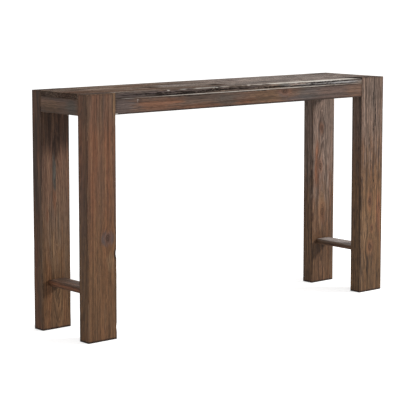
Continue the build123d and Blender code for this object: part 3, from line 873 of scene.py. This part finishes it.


# x from the left end; in the front board y up and z towards the front, in the others y to the back and z up
# the top's light ground is weathered wood and painted sheen, as the top keeps almost no gloss; the pale grey
# patches on the right halves of the boards are painted sheen too
topStock = {**plainBoard, "slot": "top_wood", "grain": "alongTop", "ground": "weatheredAndSheen", "gloss": 0.05,
            "rough": 0.8, "bump": 0.9, "contrast": 1.5, "breadth": 2.2, "lighten": 0.5, "darken": 0.8,
            "waviness": 0.04, "ringWidth": 7 * mm, "rings": 0.3}
topBoards = {
    "top_board_front": {
        "grain": "alongFront", "seed": 32.0,
        "pith": (0, -0.2, 0.02), "waviness": 0.03, "hew": hewFrontEdge, "rough": 0.7,
        "red": 0.15, "slate": 0.45, "dark": 0.35, "light": 0.4, "wear": 0.3, "grimeAndShade": 0.12,
        "spacing": (3 * mm, 1.5 * mm, 4 * mm),
        "patches": [((0.13, 0.008, 0.055), (0.4, 0.02, 0.018), "purple", 0.95),
                    ((0.42, 0.012, 0.055), (0.13, 0.007, 0.014), "deep", 0.3),
                    ((0.62, 0.01, 0.055), (0.12, 0.01, 0.014), "purple", 0.7),
                    ((0.85, 0.014, 0.055), (0.03, 0.012, 0.02), "teal", 0.8),
                    # painted reflection: the grey on the right of the front edge stands in for the white
                    # studio seen in the bevel
                    ((1.12, 0.008, 0.055), (0.26, 0.016, 0.024), "reflectionGrey", 0.9),
                    ((0.5, 0.018, 0.05), (0.022, 0.008, 0.012), "deep", 0.8),
                    ((0.647, 0.018, 0.048), (0.014, 0.01, 0.012), "deep", 0.95),
                    # painted shade: the next patch darkens the top just left of the front right leg
                    ((1.284, 0.021, 0.022), (0.024, 0.02, 0.026), "deep", 0.95),
                    ((1.0, 0.021, 0.02), (0.45, 0.003, 0.06), "dustAndSheen", 0.5),
                    ((0.4, 0.021, 0.02), (0.12, 0.02, 0.012), "red", 0.5),
                    ((0.7, 0.021, 0.03), (0.09, 0.02, 0.01), "purple", 0.6)],
        # painted highlights: the pale line and specks are glints on the worn upper front arris
        "rubbedAndPaintedLight": [((1.02, 0.0205, 0.0545), (0.36, 0.0034, 0.0055), "pale", 1.0),
                   ((0.325, 0.02, 0.054), (0.02, 0.0024, 0.004), "pale", 0.5),
                   ((0.4, 0.02, 0.054), (0.018, 0.0024, 0.004), "pale", 0.5),
                   ((0.49, 0.018, 0.054), (0.014, 0.0034, 0.004), "pale", 0.7),
                   ((0.662, 0.02, 0.054), (0.012, 0.0024, 0.004), "pale", 0.7),
                   ((0.46, 0.02, 0.054), (0.1, 0.0024, 0.004), "pale", 0.5),
                   ((0.252, 0.019, 0.054), (0.007, 0.002, 0.003), "pale", 0.7)],
        "splits": [((0.2, 0.011, 0.055), 0.36, 1.8 * mm), ((0.5, 0.009, 0.055), 0.4, 2.2 * mm),
                   ((0.78, 0.006, 0.055), 0.34, 2 * mm), ((1.08, 0.013, 0.055), 0.46, 2.2 * mm),
                   ((0.33, 0.004, 0.055), 0.4, 1.8 * mm), ((1.02, 0.004, 0.055), 0.5, 2 * mm)],
        "splitWander": 1.6 * mm,
    },
    "top_board_centre_1": {
        "seed": 35.0, "pith": (0, 0.05, -0.1), "lean": (0, 0, 0.02),
        "red": 0.3, "slate": 0.35, "dark": 0.4, "light": 0.45, "wear": 0.1,
        "knots": [((0.415, 0.102, 0.021), (0.02, 0.012, 0.02)), ((0.695, 0.022, 0.021), (0.026, 0.01, 0.02)),
                  ((1.18, 0.06, 0.021), (0.018, 0.009, 0.02))],
        "splits": [((0.7, 0.03, 0.021), 0.14, 1.6 * mm), ((1.4, 0.003, 0.021), 0.1, 9 * mm)],
        "patches": [((1.404, 0.008, 0.021), (0.028, 0.026, 0.03), "deep", 0.95),
                    ((1.1, 0.06, 0.021), (0.5, 0.3, 0.03), "dustAndSheen", 0.5),
                    ((0.1, 0.06, 0.021), (0.16, 0.06, 0.03), "red", 0.5),
                    ((0.33, 0.03, 0.021), (0.12, 0.024, 0.03), "red", 0.5),
                    ((0.52, 0.09, 0.021), (0.12, 0.024, 0.03), "dustAndSheen", 0.5),
                    ((0.6, 0.05, 0.021), (0.1, 0.02, 0.03), "deep", 0.35),
                    ((0.415, 0.098, 0.021), (0.04, 0.032, 0.03), "deep", 0.95),
                    ((0.695, 0.036, 0.021), (0.048, 0.03, 0.03), "deep", 0.95),
                    ((0.98, 0.04, 0.021), (0.12, 0.018, 0.03), "purple", 0.5)],
    },
    "top_board_centre_2": {
        "seed": 38.0, "pith": (0, 0.07, -0.12), "lean": (0, 0, -0.02),
        "red": 0.3, "slate": 0.3, "dark": 0.4, "light": 0.45, "wear": 0.1,
        "knots": [((0.905, 0.066, 0.021), (0.018, 0.01, 0.02)), ((0.83, 0.061, 0.021), (0.014, 0.008, 0.02)),
                  ((0.3, 0.04, 0.021), (0.013, 0.007, 0.02))],
        "patches": [((0.905, 0.066, 0.021), (0.036, 0.03, 0.03), "deep", 0.95),
                    ((0.83, 0.061, 0.021), (0.026, 0.024, 0.03), "deep", 0.95),
                    ((1.15, 0.06, 0.021), (0.5, 0.3, 0.03), "dustAndSheen", 0.5),
                    ((0.38, 0.07, 0.021), (0.13, 0.03, 0.03), "red", 0.6),
                    ((0.56, 0.02, 0.021), (0.12, 0.024, 0.03), "dustAndSheen", 0.5),
                    ((0.7, 0.09, 0.021), (0.1, 0.016, 0.03), "purple", 0.5)],
    },
    "top_board_back": {
        "seed": 41.0, "pith": (0, -0.1, -0.1), "waviness": 0.03,
        "red": 0.3, "slate": 0.35, "dark": 0.4, "light": 0.4, "wear": 0.3,
        "splits": [((0.52, 0.04, 0.021), 0.12, 1 * mm)],
        "patches": [((1.0, 0.03, 0.021), (0.5, 0.2, 0.03), "dustAndSheen", 0.4)],
    },
}
for node, board in topBoards.items():
    makeBoard({**topStock, **board, "node": node}, *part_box(node))
print("boards ready")

# pieces under the top keep their own shape and only get a finish
innerStock = {**plainBoard, "ground": "planed", "red": 0.2, "slate": 0.2, "dark": 0.25, "light": 0.45,
              "ringWidth": 4 * mm, "strokes": 0.3, "wear": 0.15}
innerPieces = {
    "cross_batten_left": {"grain": "acrossEnd", "seed": 50.0, "pith": (0, 0.06, 0.01)},
    "cross_batten_middle": {"grain": "acrossEnd", "seed": 53.0, "pith": (0, 0.08, 0.05)},
    "cross_batten_right": {"grain": "acrossEnd", "seed": 56.0, "pith": (0, -0.05, 0.03)},
    "end_cleat_left": {"grain": "acrossEnd", "seed": 59.0, "pith": (0, 0.03, -0.05)},
    "end_cleat_right": {"grain": "acrossEnd", "seed": 62.0, "pith": (0, -0.04, 0.05)},
    "corner_block_front_left": {"grain": "alongFront", "seed": 65.0, "pith": (0, 0.07, 0.04)},
    "corner_block_front_right": {"grain": "alongFront", "seed": 68.0, "pith": (0, -0.02, 0.06)},
    "corner_block_back_left": {"grain": "alongFront", "seed": 71.0, "pith": (0, 0.05, -0.04)},
    "corner_block_back_right": {"grain": "alongFront", "seed": 74.0, "pith": (0, 0.09, 0.01)},
    "edge_dowels": {"grain": "upright", "seed": 77.0, "pith": (0, 0.5, 0.2), "ground": "beech", "wear": 0.0,
                    "grimeAndShade": 0.0, "slate": 0.0, "dark": 0.1, "red": 0.1, "strokes": 0.2, "rings": 0.0},
}
for name, stock in innerPieces.items():
    board = {**innerStock, **stock, "node": name}
    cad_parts[name].material_slots[0].material = woodFinish(board, *ownFrame(board, *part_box(name)))

# paces are per metre
zinc = {
    "bright": (0.62, 0.62, 0.60, 1), "dull": (0.36, 0.37, 0.38, 1), "rough": 0.28, "dullRough": 0.25,
    "scratchRough": 0.12, "spanglePace": 380.0, "cloudPace": (160, 160, 160), "scratchPace": (300, 300, 2600),
    "scratchBump": 0.25,
}
plastic = {
    "light": (0.032, 0.030, 0.029, 1), "dark": (0.014, 0.013, 0.013, 1), "rough": 0.4, "texture": 0.3,
    "texturePace": (1400, 1400, 1400), "cloudPace": (90, 90, 90), "textureBump": 0.4,
}
hardwareDepth = 0.2 * mm  # of the bump on both


def zincPlate(name):
    material, tree = blankMaterial(name)
    place = addNode(tree, "ShaderNodeTexCoord").outputs["Object"]
    spangle = addNode(tree, "ShaderNodeTexVoronoi", {"Vector": place, "Scale": zinc["spanglePace"]})
    flecks = addNode(tree, "ShaderNodeSeparateColor", {0: spangle.outputs["Color"]}).outputs[0]
    cloud = noiseAt(tree, vectorCalc(tree, "MULTIPLY", place, zinc["cloudPace"]), 4.0)
    dull = ease(tree, calc(tree, "MULTIPLY_ADD", flecks, 0.2, cloud), 0.45, 0.75)
    scratch = noiseAt(tree, vectorCalc(tree, "MULTIPLY", place, zinc["scratchPace"]), 3.0)
    roughness = calc(tree, "MULTIPLY_ADD", dull, zinc["dullRough"], zinc["rough"])
    roughness = calc(tree, "MULTIPLY_ADD", scratch, zinc["scratchRough"], roughness)
    bump = addNode(tree, "ShaderNodeBump", {
        "Strength": zinc["scratchBump"], "Distance": hardwareDepth, "Height": scratch})
    addSurface(tree, {
        "Base Color": mixColour(tree, dull, zinc["bright"], zinc["dull"]), "Roughness": roughness,
        "Metallic": 1.0, "Normal": bump.outputs["Normal"]})
    return material


def mouldedPlastic(name):
    material, tree = blankMaterial(name)
    place = addNode(tree, "ShaderNodeTexCoord").outputs["Object"]
    texture = noiseAt(tree, vectorCalc(tree, "MULTIPLY", place, plastic["texturePace"]), 3.0)
    cloud = noiseAt(tree, vectorCalc(tree, "MULTIPLY", place, plastic["cloudPace"]), 3.0)
    colour = mixColour(tree, ease(tree, cloud, 0.35, 0.65), plastic["dark"], plastic["light"])
    roughness = calc(tree, "MULTIPLY_ADD", texture, plastic["texture"], plastic["rough"])
    bump = addNode(tree, "ShaderNodeBump", {
        "Strength": plastic["textureBump"], "Distance": hardwareDepth, "Height": texture})
    addSurface(tree, {"Base Color": colour, "Roughness": roughness, "Normal": bump.outputs["Normal"]})
    return material


steel = zincPlate("zincPlatedSteel")
for name in ("hanger_bolts", "bolt_washers", "bolt_nuts", "batten_screws", "cleat_top_screws",
             "cleat_rail_screws", "block_screws"):
    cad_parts[name].material_slots[0].material = steel
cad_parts["floor_glides"].material_slots[0].material = mouldedPlastic("glidePlastic")
print("inner pieces and hardware finished")

studio = {
    "floor": (0.88, 0.88, 0.88, 1), "floorSize": 90, "floorRough": 0.9, "floorGloss": 0.1, "floorGlow": 0.58,
    "white": (1, 1, 1, 1), "ambient": 0.66,
    "keyPower": 235, "keySize": 0.6, "keyPlace": (3.4, -2.8, 2.2), "keyAim": (0, 0, 0.45),
    "camera": (-4.2193, -4.7573, 1.3503), "yaw": 41.205, "pitch": 6.631,
    "lens": 138.1, "sensor": 36, "shift": -0.1202, "farClip": 500,
}

floorShape = bmesh.new()
bmesh.ops.create_grid(floorShape, x_segments=1, y_segments=1, size=studio["floorSize"])
floorMesh = bpy.data.meshes.new("floor")
floorShape.to_mesh(floorMesh)
floorShape.free()
floor = bpy.data.objects.new("floor", floorMesh)
bpy.context.scene.collection.objects.link(floor)
paint, paintTree = blankMaterial("palePaint")
# the floor glows a little for the camera alone, so it looks nearly white and lights nothing
seen = addNode(paintTree, "ShaderNodeLightPath").outputs["Is Camera Ray"]
addSurface(paintTree, {
    "Base Color": studio["floor"], "Roughness": studio["floorRough"],
    "Specular IOR Level": studio["floorGloss"], "Emission Color": studio["white"],
    "Emission Strength": times(paintTree, seen, studio["floorGlow"])})
floor.data.materials.append(paint)

world = bpy.data.worlds.new("studioWorld")
bpy.context.scene.world = world
world.use_nodes = True
sky = world.node_tree
sky.nodes.clear()
rays = addNode(sky, "ShaderNodeLightPath")
soft = addNode(sky, "ShaderNodeBackground", {"Color": studio["white"], "Strength": studio["ambient"]})
plain = addNode(sky, "ShaderNodeBackground", {"Color": studio["white"], "Strength": 1.0})
both = addNode(sky, "ShaderNodeMixShader", {
    0: rays.outputs["Is Camera Ray"], 1: soft.outputs[0], 2: plain.outputs[0]})
addNode(sky, "ShaderNodeOutputWorld", {"Surface": both.outputs[0]})

keyLight = bpy.data.lights.new("keyLight", "AREA")
keyLight.energy = studio["keyPower"]
keyLight.size = studio["keySize"]
key = bpy.data.objects.new("keyLight", keyLight)
key.location = studio["keyPlace"]
key.rotation_euler = (Vector(studio["keyAim"]) - key.location).to_track_quat("-Z", "Y").to_euler()
key.visible_glossy = False  # no mirror image of the lamp in the top
bpy.context.scene.collection.objects.link(key)

lens = bpy.data.cameras.new("camera")
lens.lens = studio["lens"]
lens.sensor_width = studio["sensor"]
lens.shift_y = studio["shift"]
lens.clip_end = studio["farClip"]
camera = bpy.data.objects.new("camera", lens)
camera.location = studio["camera"]
camera.rotation_euler = (math.radians(90 - studio["pitch"]), 0, math.radians(-studio["yaw"]))
bpy.context.scene.collection.objects.link(camera)
bpy.context.scene.camera = camera
bpy.context.scene.view_settings.view_transform = "Standard"
print("studio ready")
